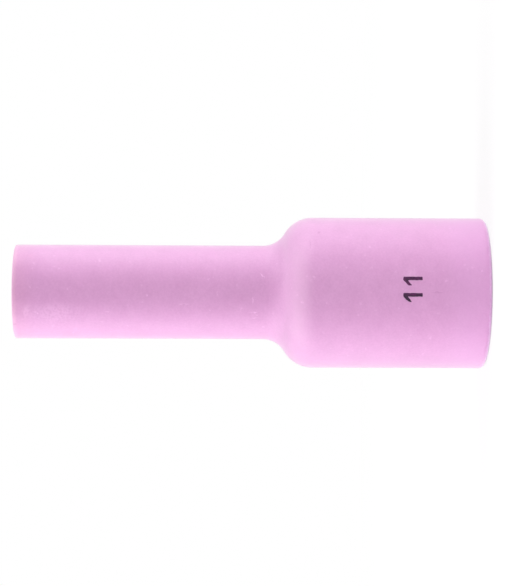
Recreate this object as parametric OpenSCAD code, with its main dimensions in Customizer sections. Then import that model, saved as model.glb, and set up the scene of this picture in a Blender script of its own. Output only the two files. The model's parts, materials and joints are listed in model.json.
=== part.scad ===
// Long gas-lens nozzle for a TIG welding torch: one piece of fired alumina ceramic.
//
// It is a single revolved wall. The wide rear body screws onto the gas-lens collet body
// and the slim tube carries the shielding gas down to the weld. Body and tube are joined
// by an ogee shoulder, outside and inside, so that the wall stays even all the way.
//
// Lengths are in millimetres and diameters are full diameters. The nozzle stands on its
// rear face at z = 0, with the axis on Z and the outlet lip at the top. The rounded thread
// is formed between the thread root diameter and the chamber diameter.

/* [Overall] */
// Length from the rear face to the outlet lip
nozzle_len = 76.2; // [60:0.1:100]

/* [Body] */
// Outside diameter of the body
body_d = 24.4; // [23.4:0.1:28]
// Length of the straight body, from the rear face to the start of the shoulder
body_len = 28; // [26:0.1:36]
// Radius of the rounded outer edge at the rear face
rear_edge_r = 1; // [0.2:0.05:1.1]

/* [Shoulder outside] */
// Length of the shoulder, from the end of the straight body to the start of the tube
shoulder_len = 8.05; // [7.5:0.05:12]
// Radius of its crest, where it leaves the body: the hollow below the tube follows from it
crest_r = 5.3; // [3:0.1:6.5]

/* [Outlet tube] */
// Outside diameter of the outlet tube
tube_d = 15.2; // [14:0.1:17]
// Bore of the outlet tube
outlet_bore_d = 11.1; // [8:0.1:12.4]
// Radius of the edges of the outlet lip
lip_edge_r = 0.3; // [0.1:0.05:0.35]

/* [Chamber] */
// Diameter of the gas-lens chamber, which is also the crest diameter of the thread
chamber_d = 18; // [16:0.1:19]
// How far short of the outer shoulder the straight chamber stops
floor_setback = 0.4; // [0:0.1:6]
// Length of the inner shoulder, from the chamber floor to the straight outlet bore
funnel_len = 6.9; // [6:0.1:9]
// Radius of the fillet in the chamber floor: the rounded entry to the bore follows from it
floor_fillet_r = 3; // [1.5:0.1:4]

/* [Thread] */
// Diameter over the roots of the thread
thread_root_d = 19.2; // [19.1:0.1:19.8]
// Length of full thread
thread_len = 8; // [5:0.1:14]
// Leg of the 45 degree lead-in at the mouth
mouth_chamfer = 0.5; // [0.2:0.05:0.6]

/* [Hidden] */
body_r = body_d / 2;
tube_r = tube_d / 2;
outlet_bore_r = outlet_bore_d / 2;
chamber_r = chamber_d / 2;
chamber_depth = body_len - floor_setback;
thread_root_r = thread_root_d / 2;
thread_depth = thread_root_r - chamber_r;
thread_end_z = mouth_chamfer + thread_len;
// How far a cut runs past the face that it opens
past = 1;
$fn = 128;

// Two arcs that touch bridge a step in radius over a given length: their radii add up to this
function radii_sum(step, len) = (step * step + len * len) / (2 * step);

// Half section of a spindle, from the axis out. It steps down from big_r to small_r between
// step_z and step_z + step_len: the first arc leaves the big diameter and the second one
// runs into the small diameter.
module ogee_section(big_r, small_r, base_z, step_z, step_len, end_z, first_r) {
    step = big_r - small_r;
    second_r = radii_sum(step, step_len) - first_r;
    turn = 2 * atan(step / step_len);
    first_len = first_r * sin(turn);
    translate([0, base_z])
        square([big_r, step_z - base_z]);
    translate([0, base_z])
        square([small_r, end_z - base_z]);
    translate([0, step_z]) {
        square([big_r - first_r, first_len]);
        translate([big_r - first_r, 0])
            intersection() {
                circle(r = first_r);
                square([first_r + past, first_len]);
            }
        difference() {
            translate([0, first_len])
                square([small_r + second_r, step_len - first_len]);
            translate([small_r, step_len])
                translate([second_r, 0])
                    circle(r = second_r);
        }
    }
}

// What a rounded outer corner loses: the corner is at the origin, with the material at -X -Y
module corner_waste(r) {
    translate([-r, -r])
        difference() {
            square(r + past);
            circle(r = r);
        }
}

module outside_section() {
    difference() {
        ogee_section(body_r, tube_r, 0, body_len, shoulder_len, nozzle_len, crest_r);
        translate([body_r, 0])
            mirror([0, 1])
                corner_waste(rear_edge_r);
        translate([tube_r, nozzle_len])
            corner_waste(lip_edge_r);
    }
}

module inside_section() {
    // Chamber, inner shoulder and outlet bore
    ogee_section(chamber_r, outlet_bore_r, -past, chamber_depth, funnel_len,
                 nozzle_len + past, floor_fillet_r);
    // Space for the thread, with its run-out into the chamber
    polygon([
        [0, -past],
        [thread_root_r, -past],
        [thread_root_r, thread_end_z],
        [chamber_r, thread_end_z + thread_depth],
        [0, thread_end_z + thread_depth]
    ]);
    // Lead-in at the mouth
    polygon([
        [0, -past],
        [thread_root_r + mouth_chamfer + past, -past],
        [thread_root_r, mouth_chamfer],
        [0, mouth_chamfer]
    ]);
    // Rounded inner edge of the lip
    translate([outlet_bore_r, nozzle_len])
        mirror([1, 0])
            corner_waste(lip_edge_r);
}

module nozzle() {
    color("#dba0d2")
        rotate_extrude()
            difference() {
                outside_section();
                inside_section();
            }
}

nozzle();
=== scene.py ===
import json
import math

import bmesh
import bpy
from mathutils import Matrix, Vector, noise


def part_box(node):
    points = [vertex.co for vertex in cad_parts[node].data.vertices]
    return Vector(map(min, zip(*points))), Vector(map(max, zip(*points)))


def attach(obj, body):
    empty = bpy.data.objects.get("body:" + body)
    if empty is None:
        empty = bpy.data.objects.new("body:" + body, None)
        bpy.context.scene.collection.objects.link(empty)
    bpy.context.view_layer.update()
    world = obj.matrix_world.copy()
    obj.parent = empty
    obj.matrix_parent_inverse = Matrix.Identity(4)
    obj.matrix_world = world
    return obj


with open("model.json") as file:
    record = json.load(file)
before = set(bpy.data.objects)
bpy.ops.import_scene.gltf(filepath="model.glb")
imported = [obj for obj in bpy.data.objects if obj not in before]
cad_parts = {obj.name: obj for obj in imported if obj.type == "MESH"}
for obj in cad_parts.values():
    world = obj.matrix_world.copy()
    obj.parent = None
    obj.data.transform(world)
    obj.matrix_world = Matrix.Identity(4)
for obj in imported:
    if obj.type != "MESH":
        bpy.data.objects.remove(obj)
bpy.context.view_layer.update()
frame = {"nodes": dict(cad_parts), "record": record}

# ---------------------------------------------------------------------------- nozzle
# The nozzle is one piece of alumina, pressed from powder that a little chromium and
# manganese oxide stains pink, and fired without a glaze. The CAD model holds its whole
# shape, so it only gets its surface here.
MM = 0.001
nozzle = frame["nodes"]["nozzle"]
mounts = {mount["name"]: mount for mount in frame["record"]["mounts"]}
BODY_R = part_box("nozzle")[1].x
TUBE_R = mounts["outlet_tube"]["dims"]["r_mm"] * MM
NOZZLE_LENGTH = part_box("nozzle")[1].z
SHOULDER_TOP = 36 * MM
ALUMINA_IOR = 1.76

# Colours of the ceramic, of the marks that firing, handling and heat have left on it, and of painted light
# and shade on it
PINK_DEEP = "#d092c5"
PINK_PALE = "#da9dcf"
PINK_RUBBED_AND_LIT = "#f8c6f0"
PINK_SOILED_AND_SHADED = "#b46da7"
REAR_PAINTED_LIGHT = "#dda2d7"
REAR_EDGE_PAINTED_LIGHT = "#e8bee8"
CREST_PAINTED_HIGHLIGHT = "#f4c4e8"
LIP_WARM = "#d18c99"
LIP_PAINTED_HIGHLIGHT = "#dca2ca"

# The pattern is drawn in mm from the rear face, and a strength is a share of a full tint
CLOUD_SPACING = 3.0
GRAIN_SPACING = 0.35
GRAIN_HEIGHT = 0.006
TONE_LOW = 0.3
TONE_HIGH = 0.7
SATIN_SMOOTH = 0.54
SATIN_DRY = 0.66
RAGGED_SPACING = 0.35
RAGGED_REACH = 0.15
PALE_SPECK_SPACING = 1.6
PALE_SPECK_SIZE = 0.3
PALE_SPECK_STRENGTH = 0.45
DARK_SPECK_SPACING = 3.0
DARK_SPECK_SIZE = 0.35
DARK_SPECK_STRENGTH = 0.2
DARK_SPECK_SHIFT = (17, 5, 9)
PATCH_LOW = 0.3
PATCH_HIGH = 0.6
PATCH_LEAST = 0.3
# Spans and strengths of painted light on the rear end and the rear edge, of the painted highlights on the
# crest and the lip, and of the warmed lip
REAR_LIGHT_START = 10.0
REAR_LIGHT_FULL = 3.0
REAR_LIGHT_STRENGTH = 0.42
REAR_EDGE_LIGHT_START = 0.7
REAR_EDGE_LIGHT_FULL = 0.1
CREST_Z = 30.8
CREST_HIGHLIGHT_REACH = 3.2
CREST_HIGHLIGHT_DEPTH = 4.7
CREST_HIGHLIGHT_IN_FRONT = 0.42
CREST_HIGHLIGHT_BEHIND = 0.06
LIP_WARM_START = NOZZLE_LENGTH / MM - 4.5
LIP_WARM_STRENGTH = 0.1
LIP_HIGHLIGHT_START = NOZZLE_LENGTH / MM - 0.75
LIP_HIGHLIGHT_FULL = LIP_HIGHLIGHT_START + 0.3

# Scuffs where they show most, and near the lip a soft patch of painted light below and one
# of painted shade above. Each has its place in mm along the nozzle and across its front,
# its length and width in mm, its lean in degrees and its strength. Its ends fade
# between these two shares of its half size
SOFT_MARK_FULL = 0.2
SOFT_MARK_GONE = 1.4
PALE_SCUFFS_AND_LIGHT = (
    (72.8, 4.5, 0.5, 0.4, 0, 0.35),
    (72.3, -3.4, 1.0, 0.7, 30, 0.45),
    (73.9, -3.1, 1.2, 2.2, 20, 0.25),
    (73.3, 0.7, 0.4, 0.3, 0, 0.5),
    # A soft lighter patch on the lower side near the lip: painted light
    (69.2, -3.2, 8.5, 3.0, 0, 0.2),
    (62.3, 5.0, 0.9, 0.35, 35, 0.3),
    (67.3, 0.4, 0.6, 0.25, 60, 0.4),
    (61.0, -3.2, 0.9, 0.2, 0, 0.5),
    (61.9, -4.8, 0.7, 0.15, 0, 0.3),
    (54.7, -0.5, 0.4, 0.3, 0, 0.4),
    (48.9, -1.9, 2.0, 0.25, 0, 0.3),
    (44.8, 2.1, 0.5, 0.25, 0, 0.3),
    (43.5, -0.1, 0.25, 0.7, 0, 0.3),
    (36.3, 2.7, 1.0, 0.25, 45, 0.8),
    (37.8, -1.3, 0.2, 1.2, 0, 0.5),
    (37.5, -3.2, 1.4, 0.2, 0, 0.55),
    (37.2, -3.65, 1.0, 0.15, 0, 0.4),
    (37.4, -4.1, 1.2, 0.15, 0, 0.4),
    (28.3, 2.5, 0.5, 0.4, 0, 0.4),
    (30.1, -1.5, 0.45, 0.4, 0, 0.6),
    (12.9, 2.9, 2.2, 1.6, 0, 0.2),
    (7.4, 2.0, 0.35, 0.3, 0, 0.45),
    (4.4, 4.5, 0.35, 0.3, 0, 0.5),
    (3.2, 4.1, 0.4, 0.35, 0, 0.5),
    (1.7, 3.6, 0.35, 0.3, 0, 0.6),
    (5.7, -5.5, 2.2, 0.2, 0, 0.2),
)
DARK_SCUFFS_AND_SHADE = (
    (8.8, 0.1, 1.8, 0.3, 0, 0.3),
    (27.3, 9.6, 0.45, 0.4, 0, 0.4),
    (28.8, 7.7, 0.15, 1.3, 0, 0.35),
    (75.8, -5.2, 0.5, 0.25, 0, 0.6),
    # A soft darker patch on the upper side near the lip: painted shade
    (73.7, 4.4, 5.0, 5.0, 0, 0.15),
)


def linear(hex_colour):
    """The linear RGBA of an sRGB colour such as #dba0d2."""
    shares = [int(hex_colour[i:i + 2], 16) / 255 for i in (1, 3, 5)]
    return [s / 12.92 if s <= 0.04045 else ((s + 0.055) / 1.055) ** 2.4 for s in shares] + [1]


def add(tree, kind, inputs=None, **settings):
    """Adds a node to a tree. Each of its inputs is a value or the output that feeds it. A Mix
    of colours takes its share at 0 and the colours at 6 and 7, and gives its result at 2."""
    node = tree.nodes.new(kind)
    for name, value in settings.items():
        setattr(node, name, value)
    for name, value in (inputs or {}).items():
        if isinstance(value, bpy.types.NodeSocket):
            tree.links.new(value, node.inputs[name])
        else:
            node.inputs[name].default_value = value
    return node


def scattered(tree, in_mm, spacing, size):
    """A mask of soft specks of a size in mm, about a spacing in mm apart and of any strength."""
    cells = add(tree, "ShaderNodeTexVoronoi", {"Vector": in_mm, "Scale": 1 / spacing})
    specks = add(tree, "ShaderNodeMapRange", {
        "Value": cells.outputs["Distance"],
        "From Min": 0.0,
        "From Max": size / spacing,
        "To Min": 1.0,
        "To Max": 0.0,
    }, interpolation_type="SMOOTHSTEP").outputs["Result"]
    return add(tree, "ShaderNodeMath", {
        0: specks, 1: cells.outputs["Color"]}, operation="MULTIPLY").outputs[0]


def scuff_or_light_patch(tree, in_mm, along, across, length, width, lean, strength):
    """A mask of one mark on the surface, at along mm from the rear face and across mm from the
    middle of the front. It leans from the nozzle's axis by an angle in degrees and has soft ends."""
    radius = TUBE_R / MM if along > SHOULDER_TOP / MM else BODY_R / MM
    spot = add(tree, "ShaderNodeMapping", {
        "Vector": in_mm,
        "Location": (across, -math.sqrt(radius ** 2 - across ** 2), along),
        "Rotation": (0, math.radians(lean), 0),
        "Scale": (width / 2, radius, length / 2),
    }, vector_type="TEXTURE").outputs["Vector"]
    away = add(tree, "ShaderNodeVectorMath", {0: spot}, operation="LENGTH").outputs["Value"]
    return add(tree, "ShaderNodeMapRange", {
        "Value": away,
        "From Min": SOFT_MARK_FULL,
        "From Max": SOFT_MARK_GONE,
        "To Min": strength,
        "To Max": 0.0,
    }, interpolation_type="SMOOTHSTEP").outputs["Result"]


def fired_alumina():
    """Unglazed fired alumina, whose grain of some hundredths of a millimetre scatters light
    inside it and on its face. It gives a dry satin surface with a faint cloud in its pink,
    specks of paler and darker powder, and chalky scuffs where other nozzles have worn it.
    Over these lie painted light and shade: painted highlights on the crest of the shoulder
    and on the lip, painted light on the rear end and on the edge of its face, and near the
    lip a painted lighter patch below and a painted shade above."""
    material = bpy.data.materials.new("fired_alumina_unglazed")
    material.use_nodes = True
    tree = material.node_tree
    tree.nodes.clear()
    place = add(tree, "ShaderNodeTexCoord").outputs["Object"]
    in_mm = add(tree, "ShaderNodeMapping", {"Vector": place, "Scale": [1 / MM] * 3}).outputs["Vector"]

    # The cloud is a few millimetres across. The grain is drawn at a third of a millimetre,
    # about ten times as coarse as it is, so that it shows
    cloud = add(tree, "ShaderNodeTexNoise", {
        "Vector": in_mm, "Scale": 1 / CLOUD_SPACING, "Detail": 3.0, "Roughness": 0.6}).outputs["Fac"]
    grain = add(tree, "ShaderNodeTexNoise", {
        "Vector": in_mm, "Scale": 1 / GRAIN_SPACING, "Detail": 1.0}).outputs["Fac"]
    tone = add(tree, "ShaderNodeMath", {0: cloud, 1: 0.5, 2: 0.0}, operation="MULTIPLY_ADD").outputs[0]
    tone = add(tree, "ShaderNodeMath", {0: grain, 1: 0.5, 2: tone}, operation="MULTIPLY_ADD").outputs[0]
    contrast = add(tree, "ShaderNodeMapRange", {
        "Value": tone, "From Min": TONE_LOW, "From Max": TONE_HIGH}).outputs["Result"]
    colour = add(tree, "ShaderNodeMix", {
        0: contrast, 6: linear(PINK_DEEP), 7: linear(PINK_PALE)}, data_type="RGBA").outputs[2]

    # Rubbing leaves chalky marks with ragged edges, patchy like the grain under them, and the soft lighter
    # patch near the lip is painted light
    ragged = add(tree, "ShaderNodeTexNoise", {
        "Vector": in_mm, "Scale": 1 / RAGGED_SPACING, "Detail": 2.0}, normalize=False).outputs["Color"]
    ragged_mm = add(tree, "ShaderNodeVectorMath", {
        0: ragged, 1: [RAGGED_REACH] * 3, 2: in_mm}, operation="MULTIPLY_ADD").outputs["Vector"]
    pale_and_lit = scattered(tree, ragged_mm, PALE_SPECK_SPACING, PALE_SPECK_SIZE)
    pale_and_lit = add(tree, "ShaderNodeMath", {0: pale_and_lit, 1: PALE_SPECK_STRENGTH}, operation="MULTIPLY").outputs[0]
    for place_and_size in PALE_SCUFFS_AND_LIGHT:
        rubbed_and_lit = scuff_or_light_patch(tree, ragged_mm, *place_and_size)
        pale_and_lit = add(tree, "ShaderNodeMath", {0: pale_and_lit, 1: rubbed_and_lit}, operation="MAXIMUM").outputs[0]
    patchy = add(tree, "ShaderNodeMapRange", {
        "Value": grain,
        "From Min": PATCH_LOW,
        "From Max": PATCH_HIGH,
        "To Min": PATCH_LEAST,
    }).outputs["Result"]
    pale_and_lit = add(tree, "ShaderNodeMath", {0: pale_and_lit, 1: patchy}, operation="MULTIPLY").outputs[0]
    colour = add(tree, "ShaderNodeMix", {
        0: pale_and_lit, 6: colour, 7: linear(PINK_RUBBED_AND_LIT)}, data_type="RGBA").outputs[2]

    # The rear end is painted a little lighter and cooler, painted light that grows towards the rear face
    axes = add(tree, "ShaderNodeSeparateXYZ", {"Vector": ragged_mm})
    height = axes.outputs["Z"]
    rear_painted_light = add(tree, "ShaderNodeMapRange", {
        "Value": height,
        "From Min": REAR_LIGHT_FULL,
        "From Max": REAR_LIGHT_START,
        "To Min": REAR_LIGHT_STRENGTH,
        "To Max": 0.0,
    }, interpolation_type="SMOOTHSTEP").outputs["Result"]
    colour = add(tree, "ShaderNodeMix", {
        0: rear_painted_light, 6: colour, 7: linear(REAR_PAINTED_LIGHT)}, data_type="RGBA").outputs[2]

    # The crest of the shoulder carries a painted highlight, strongest in front and fading
    # towards the back. The edge of the rear face is painted lighter, painted light against the
    # shade of the paper that it stands on. The lip's edge carries a painted highlight, and near
    # the lip the arc has warmed the colour
    crest_highlight_front = add(tree, "ShaderNodeMapRange", {
        "Value": axes.outputs["Y"],
        "From Min": -BODY_R / MM,
        "From Max": CREST_HIGHLIGHT_DEPTH - BODY_R / MM,
        "To Min": CREST_HIGHLIGHT_IN_FRONT,
        "To Max": CREST_HIGHLIGHT_BEHIND,
    }).outputs["Result"]
    from_crest = add(tree, "ShaderNodeMath", {0: height, 1: CREST_Z}, operation="SUBTRACT").outputs[0]
    from_crest = add(tree, "ShaderNodeMath", {0: from_crest}, operation="ABSOLUTE").outputs[0]
    crest_highlight = add(tree, "ShaderNodeMapRange", {
        "Value": from_crest,
        "From Min": 0.0,
        "From Max": CREST_HIGHLIGHT_REACH,
        "To Min": 1.0,
        "To Max": 0.0,
    }, interpolation_type="SMOOTHSTEP").outputs["Result"]
    crest_highlight = add(tree, "ShaderNodeMath", {0: crest_highlight, 1: crest_highlight_front}, operation="MULTIPLY").outputs[0]
    colour = add(tree, "ShaderNodeMix", {
        0: crest_highlight, 6: colour, 7: linear(CREST_PAINTED_HIGHLIGHT)}, data_type="RGBA").outputs[2]
    # Painted light: the edge of the rear face is painted lighter against its shade on the paper
    rear_edge_light = add(tree, "ShaderNodeMapRange", {
        "Value": height,
        "From Min": REAR_EDGE_LIGHT_FULL,
        "From Max": REAR_EDGE_LIGHT_START,
        "To Min": 1.0,
        "To Max": 0.0,
    }, interpolation_type="SMOOTHSTEP").outputs["Result"]
    colour = add(tree, "ShaderNodeMix", {
        0: rear_edge_light, 6: colour, 7: linear(REAR_EDGE_PAINTED_LIGHT)}, data_type="RGBA").outputs[2]
    lip_warmth = add(tree, "ShaderNodeMapRange", {
        "Value": height,
        "From Min": LIP_WARM_START,
        "From Max": LIP_HIGHLIGHT_START,
        "To Max": LIP_WARM_STRENGTH,
    }, interpolation_type="SMOOTHSTEP").outputs["Result"]
    colour = add(tree, "ShaderNodeMix", {
        0: lip_warmth, 6: colour, 7: linear(LIP_WARM)}, data_type="RGBA").outputs[2]
    # Painted highlight on the lip's edge
    lip_highlight = add(tree, "ShaderNodeMapRange", {
        "Value": height, "From Min": LIP_HIGHLIGHT_START, "From Max": LIP_HIGHLIGHT_FULL}).outputs["Result"]
    colour = add(tree, "ShaderNodeMix", {
        0: lip_highlight, 6: colour, 7: linear(LIP_PAINTED_HIGHLIGHT)}, data_type="RGBA").outputs[2]

    # Darker powder and dirty spots lie over the rest, and near the lip a soft patch of painted shade
    shifted = add(tree, "ShaderNodeMapping", {
        "Vector": ragged_mm, "Location": DARK_SPECK_SHIFT}).outputs["Vector"]
    dark_and_shaded = scattered(tree, shifted, DARK_SPECK_SPACING, DARK_SPECK_SIZE)
    dark_and_shaded = add(tree, "ShaderNodeMath", {0: dark_and_shaded, 1: DARK_SPECK_STRENGTH}, operation="MULTIPLY").outputs[0]
    for place_and_size in DARK_SCUFFS_AND_SHADE:
        soiled_and_shaded = scuff_or_light_patch(tree, ragged_mm, *place_and_size)
        dark_and_shaded = add(tree, "ShaderNodeMath", {0: dark_and_shaded, 1: soiled_and_shaded}, operation="MAXIMUM").outputs[0]
    colour = add(tree, "ShaderNodeMix", {
        0: dark_and_shaded, 6: colour, 7: linear(PINK_SOILED_AND_SHADED)}, data_type="RGBA").outputs[2]

    satin = add(tree, "ShaderNodeMapRange", {
        "Value": cloud, "To Min": SATIN_SMOOTH, "To Max": SATIN_DRY}).outputs["Result"]
    relief = add(tree, "ShaderNodeBump", {
        "Height": tone, "Strength": 1.0, "Distance": GRAIN_HEIGHT * MM}).outputs["Normal"]
    surface = add(tree, "ShaderNodeBsdfPrincipled", {
        "Base Color": colour,
        "Roughness": satin,
        "Normal": relief,
        "IOR": ALUMINA_IOR,
        "Specular IOR Level": 0.5,
        "Sheen Weight": 0.86,
        "Sheen Roughness": 0.4,
        "Subsurface Weight": 0.2,
        "Subsurface Radius": (1.0, 0.6, 0.9),
        "Subsurface Scale": 1.0 * MM,
    })
    add(tree, "ShaderNodeOutputMaterial", {"Surface": surface.outputs["BSDF"]})
    return material


alumina = fired_alumina()
for slot in nozzle.material_slots:
    slot.material = alumina

# ---------------------------------------------------------------------------- socket_thread
# The thread inside the rear mouth is moulded in the alumina. It is a low rounded ridge,
# the shape that pressed powder can hold, and both its ends sink away into the wall.
THREAD_ROOT_R = mounts["rear_thread"]["dims"]["r_mm"] * MM
THREAD_CREST_R = mounts["lens_chamber"]["dims"]["r_mm"] * MM
THREAD_PITCH = 2.0 * MM
RIDGE_WIDTH = 1.5 * MM
RIDGE_START_Z = 1.4 * MM
RIDGE_TURNS = 3.25
RIDGE_SIDES = 24
STEPS_PER_TURN = 96
BURIED = 0.12 * MM
SINK_TURNS = 0.2

ridge_height = THREAD_ROOT_R - THREAD_CREST_R
ridge = bmesh.new()
bmesh.ops.create_circle(ridge, segments=RIDGE_SIDES, radius=1)
bmesh.ops.scale(ridge, verts=ridge.verts, vec=(ridge_height, RIDGE_WIDTH / 2, 1))
bmesh.ops.bisect_plane(ridge, geom=ridge.verts[:] + ridge.edges[:], plane_co=(BURIED, 0, 0),
                       plane_no=(1, 0, 0), clear_outer=True)
open_ends = [vert for vert in ridge.verts if len(vert.link_edges) == 1]
bmesh.ops.contextual_create(ridge, geom=open_ends)
bmesh.ops.rotate(ridge, verts=ridge.verts, matrix=Matrix.Rotation(math.pi / 2, 3, "X"))
bmesh.ops.translate(ridge, verts=ridge.verts, vec=(THREAD_ROOT_R, 0, RIDGE_START_Z))
steps = round(RIDGE_TURNS * STEPS_PER_TURN)
bmesh.ops.spin(ridge, geom=ridge.verts[:] + ridge.edges[:], axis=(0, 0, 1),
               angle=RIDGE_TURNS * 2 * math.pi, dvec=(0, 0, RIDGE_TURNS * THREAD_PITCH / steps),
               steps=steps, use_merge=False)
bmesh.ops.holes_fill(ridge, edges=ridge.edges, sides=RIDGE_SIDES)
for vert in ridge.verts:
    part_turn = math.atan2(vert.co.y, vert.co.x) / (2 * math.pi)
    turn = part_turn + round((vert.co.z - RIDGE_START_Z) / THREAD_PITCH - part_turn)
    sink = 1 - min(1, max(0, min(turn, RIDGE_TURNS - turn)) / SINK_TURNS)
    outwards = Vector((vert.co.x, vert.co.y, 0)).normalized()
    vert.co += outwards * (ridge_height + BURIED) * sink * sink * (3 - 2 * sink)
bmesh.ops.recalc_face_normals(ridge, faces=ridge.faces)
for face in ridge.faces:
    face.smooth = True
socket_thread = bpy.data.objects.new("socket_thread", bpy.data.meshes.new("socket_thread"))
ridge.to_mesh(socket_thread.data)
ridge.free()
bpy.context.collection.objects.link(socket_thread)
socket_thread.data.materials.append(alumina)
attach(socket_thread, "root")

# ---------------------------------------------------------------------------- size_mark
# The size mark is a plain number, the outlet bore in whole millimetres: 11. A rubber stamp
# prints it on the fired body in dark ceramic ink, with soft corners and uneven edges.
FIGURE_HEIGHT = 3.05 * MM
STROKE = 0.54 * MM
FLAG_REACH = 1.4 * MM
FLAG_DROP = 0.85 * MM
FLAG_ROOT = 1.3 * STROKE
FIGURE_PITCH = 2.6 * MM
MARK_BASE_Z = 11.15 * MM
MARK_CENTRE = 0.75 * MM
SOFT_CORNER = 0.12 * MM
UNEVEN_EDGE = 0.07 * MM
UNEVEN_SPACING = 0.5 * MM
EDGE_STEP = 0.25 * MM
INK_TOP = 0.02 * MM
INK_BURIED = 0.02 * MM
INK_THICK = "#341c38"
INK_THIN = "#5c2054"
INK_PATCH_SPACING = 0.7


def stamped_ink():
    """Dark purple ceramic ink that a rubber stamp leaves: matt, and patchy where the stamp
    has pressed it thin over the grain."""
    material = bpy.data.materials.new("ceramic_ink_stamped")
    material.use_nodes = True
    tree = material.node_tree
    tree.nodes.clear()
    place = add(tree, "ShaderNodeTexCoord").outputs["Object"]
    in_mm = add(tree, "ShaderNodeMapping", {"Vector": place, "Scale": [1 / MM] * 3}).outputs["Vector"]
    patches = add(tree, "ShaderNodeTexNoise", {
        "Vector": in_mm, "Scale": 1 / INK_PATCH_SPACING, "Detail": 2.0, "Roughness": 0.6}).outputs["Fac"]
    share = add(tree, "ShaderNodeMapRange", {
        "Value": patches, "From Min": 0.35, "From Max": 0.65}).outputs["Result"]
    colour = add(tree, "ShaderNodeMix", {
        0: share, 6: linear(INK_THICK), 7: linear(INK_THIN)}, data_type="RGBA").outputs[2]
    surface = add(tree, "ShaderNodeBsdfPrincipled", {
        "Base Color": colour,
        "Roughness": 0.65,
        "IOR": 1.5,
        "Specular IOR Level": 0.35,
    })
    add(tree, "ShaderNodeOutputMaterial", {"Surface": surface.outputs["BSDF"]})
    return material


def figure_one(mesh, left):
    """The outline of a 1 with its flag, as one face that stands on the mark's baseline."""
    corners = (
        (0, 0),
        (STROKE, 0),
        (STROKE, FIGURE_HEIGHT),
        (0, FIGURE_HEIGHT),
        (STROKE - FLAG_REACH, FIGURE_HEIGHT - FLAG_DROP),
        (STROKE - FLAG_REACH, FIGURE_HEIGHT - FLAG_DROP - STROKE),
        (0, FIGURE_HEIGHT - FLAG_ROOT),
    )
    mesh.faces.new([mesh.verts.new((left + x, y, 0)) for x, y in corners])


mark = bmesh.new()
for place_in_mark in (-0.5, 0.5):
    figure_one(mark, place_in_mark * FIGURE_PITCH)
bmesh.ops.bevel(mark, geom=mark.verts, offset=SOFT_CORNER, affect="VERTICES", segments=3,
                profile=0.5, material=-1)
for edge in mark.edges[:]:
    cuts = int(edge.calc_length() / EDGE_STEP)
    if cuts:
        bmesh.ops.subdivide_edges(mark, edges=[edge], cuts=cuts)
for vert in mark.verts:
    vert.co.x += UNEVEN_EDGE * noise.noise(vert.co / UNEVEN_SPACING)
    vert.co.y += UNEVEN_EDGE * noise.noise(vert.co / UNEVEN_SPACING + Vector((0, 0, 9)))
widths = [vert.co.x for vert in mark.verts]
cut_x = min(widths) + EDGE_STEP
while cut_x < max(widths):
    bmesh.ops.bisect_plane(mark, geom=mark.verts[:] + mark.edges[:] + mark.faces[:],
                           plane_co=(cut_x, 0, 0), plane_no=(1, 0, 0))
    cut_x += EDGE_STEP
lifted = bmesh.ops.extrude_face_region(mark, geom=mark.faces)["geom"]
top = [item for item in lifted if isinstance(item, bmesh.types.BMVert)]
bmesh.ops.translate(mark, verts=top, vec=(0, 0, INK_TOP + INK_BURIED))
bmesh.ops.recalc_face_normals(mark, faces=mark.faces)
for vert in mark.verts:
    angle = (vert.co.x + MARK_CENTRE) / BODY_R
    radius = BODY_R - INK_BURIED + vert.co.z
    vert.co = (radius * math.sin(angle), -radius * math.cos(angle), MARK_BASE_Z + vert.co.y)
size_mark = bpy.data.objects.new("size_mark", bpy.data.meshes.new("size_mark"))
mark.to_mesh(size_mark.data)
mark.free()
bpy.context.collection.objects.link(size_mark)
size_mark.data.materials.append(stamped_ink())
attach(size_mark, "root")

# ---------------------------------------------------------------------------- bench and light
# The nozzle stands on its rear face on white paper, in soft light from two boxes on each
# side of it, one low and one high, and one overhead.
AIM = Vector((0, 0, 38 * MM))
SOFTBOX_SIZE = 400 * MM
SOFTBOX_DISTANCE = 600 * MM
PAPER_SIZE = 3000 * MM
PAPER_GAP = 0.02 * MM
PAPER_COLOUR = "#fafafa"
ROOM_LEVEL = 0.6

# The paper is seen as plain white from SHADOW_REACH out, and a share of its shade is kept
# near the nozzle
SHADOW_REACH = 300 * MM
SHADOW_SHARE = 0.2


def softbox(name, around, above, watts):
    """A square soft light that faces the nozzle. around is 0 in front and 90 at its +X side."""
    around, above = math.radians(around), math.radians(above)
    away = Vector((math.sin(around) * math.cos(above), -math.cos(around) * math.cos(above), math.sin(above)))
    lamp = bpy.data.lights.new(name, "AREA")
    lamp.size = SOFTBOX_SIZE
    lamp.energy = watts
    light = bpy.data.objects.new(name, lamp)
    bpy.context.collection.objects.link(light)
    light.location = AIM + SOFTBOX_DISTANCE * away
    light.rotation_euler = (-away).to_track_quat("-Z", "Y").to_euler()
    light.visible_camera = False


def seen(tree):
    """1 where the camera sees a surface, itself or in gloss or glass, and 0 where it only
    lights the nozzle."""
    path = add(tree, "ShaderNodeLightPath")
    or_in_gloss = add(tree, "ShaderNodeMath", {
        0: path.outputs["Is Camera Ray"], 1: path.outputs["Is Glossy Ray"]}, operation="MAXIMUM")
    return add(tree, "ShaderNodeMath", {
        0: or_in_gloss.outputs[0], 1: path.outputs["Is Transmission Ray"]}, operation="MAXIMUM").outputs[0]


softbox("low_light_right", 90, 0, 2.73)
softbox("high_light_right", 90, 45, 0.78)
softbox("low_light_left", 270, 0, 2.07)
softbox("high_light_left", 270, 45, 1.78)
softbox("overhead_light", 0, 70, 0.16)

world = bpy.data.worlds.new("white_room")
bpy.context.scene.world = world
world.use_nodes = True
tree = world.node_tree
tree.nodes.clear()
level = add(tree, "ShaderNodeMapRange", {
    "Value": seen(tree), "To Min": ROOM_LEVEL, "To Max": 1.0}).outputs["Result"]
room = add(tree, "ShaderNodeBackground", {"Color": (1, 1, 1, 1), "Strength": level})
add(tree, "ShaderNodeOutputWorld", {"Surface": room.outputs["Background"]})

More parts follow.
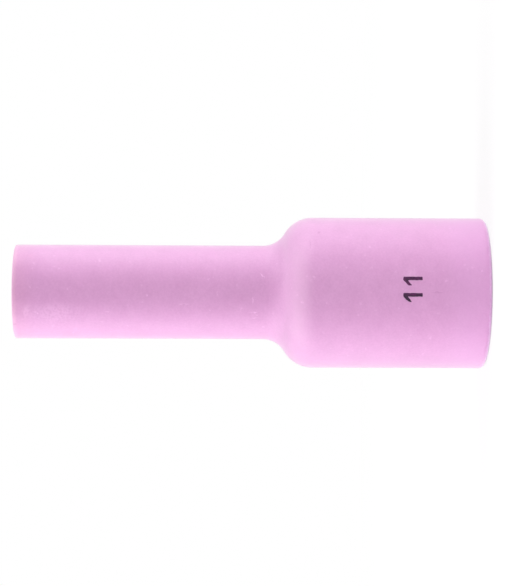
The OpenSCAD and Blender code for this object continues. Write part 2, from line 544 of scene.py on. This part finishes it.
bench_mesh = bmesh.new()
bmesh.ops.create_grid(bench_mesh, x_segments=1, y_segments=1, size=PAPER_SIZE / 2)
bmesh.ops.translate(bench_mesh, verts=bench_mesh.verts, vec=(0, 0, -PAPER_GAP))
bench = bpy.data.objects.new("bench", bpy.data.meshes.new("bench"))
bench_mesh.to_mesh(bench.data)
bench_mesh.free()
bpy.context.collection.objects.link(bench)
paper = bpy.data.materials.new("white_paper")
paper.use_nodes = True
tree = paper.node_tree
tree.nodes.clear()
plain = add(tree, "ShaderNodeBsdfDiffuse", {"Color": linear(PAPER_COLOUR)})
white = add(tree, "ShaderNodeEmission", {"Color": (1, 1, 1, 1), "Strength": 1.0})
place = add(tree, "ShaderNodeTexCoord").outputs["Object"]
away = add(tree, "ShaderNodeVectorMath", {0: place}, operation="LENGTH").outputs["Value"]
share_there = add(tree, "ShaderNodeMapRange", {
    "Value": away,
    "From Min": SHADOW_REACH / 2,
    "From Max": SHADOW_REACH,
    "To Min": 1 - SHADOW_SHARE,
    "To Max": 1.0,
}, interpolation_type="SMOOTHSTEP").outputs["Result"]
share = add(tree, "ShaderNodeMath", {0: seen(tree), 1: share_there}, operation="MULTIPLY").outputs[0]
look = add(tree, "ShaderNodeMixShader", {0: share, 1: plain.outputs["BSDF"], 2: white.outputs["Emission"]})
add(tree, "ShaderNodeOutputMaterial", {"Surface": look.outputs["Shader"]})
bench.data.materials.append(paper)

# ---------------------------------------------------------------------------- camera
# A long lens looks square at the side of the nozzle, from just above its middle. It is
# turned so that the nozzle lies across the picture with its outlet to the left.
LENS_MM = 135
VIEW_DISTANCE = 357.6 * MM
VIEW_ELEVATION = math.radians(1.2)
VIEW_ROLL = math.radians(0.25)
VIEW_CENTRE = Vector((-0.10 * MM, 0, 37.07 * MM))
camera_data = bpy.data.cameras.new("camera")
camera_data.lens = LENS_MM
camera = bpy.data.objects.new("camera", camera_data)
bpy.context.collection.objects.link(camera)
bpy.context.scene.camera = camera
back = Vector((0, -math.cos(VIEW_ELEVATION), math.sin(VIEW_ELEVATION)))
up = Vector((1, 0, 0))
turned = Matrix((up.cross(back), up, back)).transposed().to_4x4()
camera.matrix_world = (
    Matrix.Translation(VIEW_CENTRE + VIEW_DISTANCE * back) @ turned @ Matrix.Rotation(VIEW_ROLL, 4, "Z")
)

bpy.context.scene.view_settings.view_transform = "Standard"
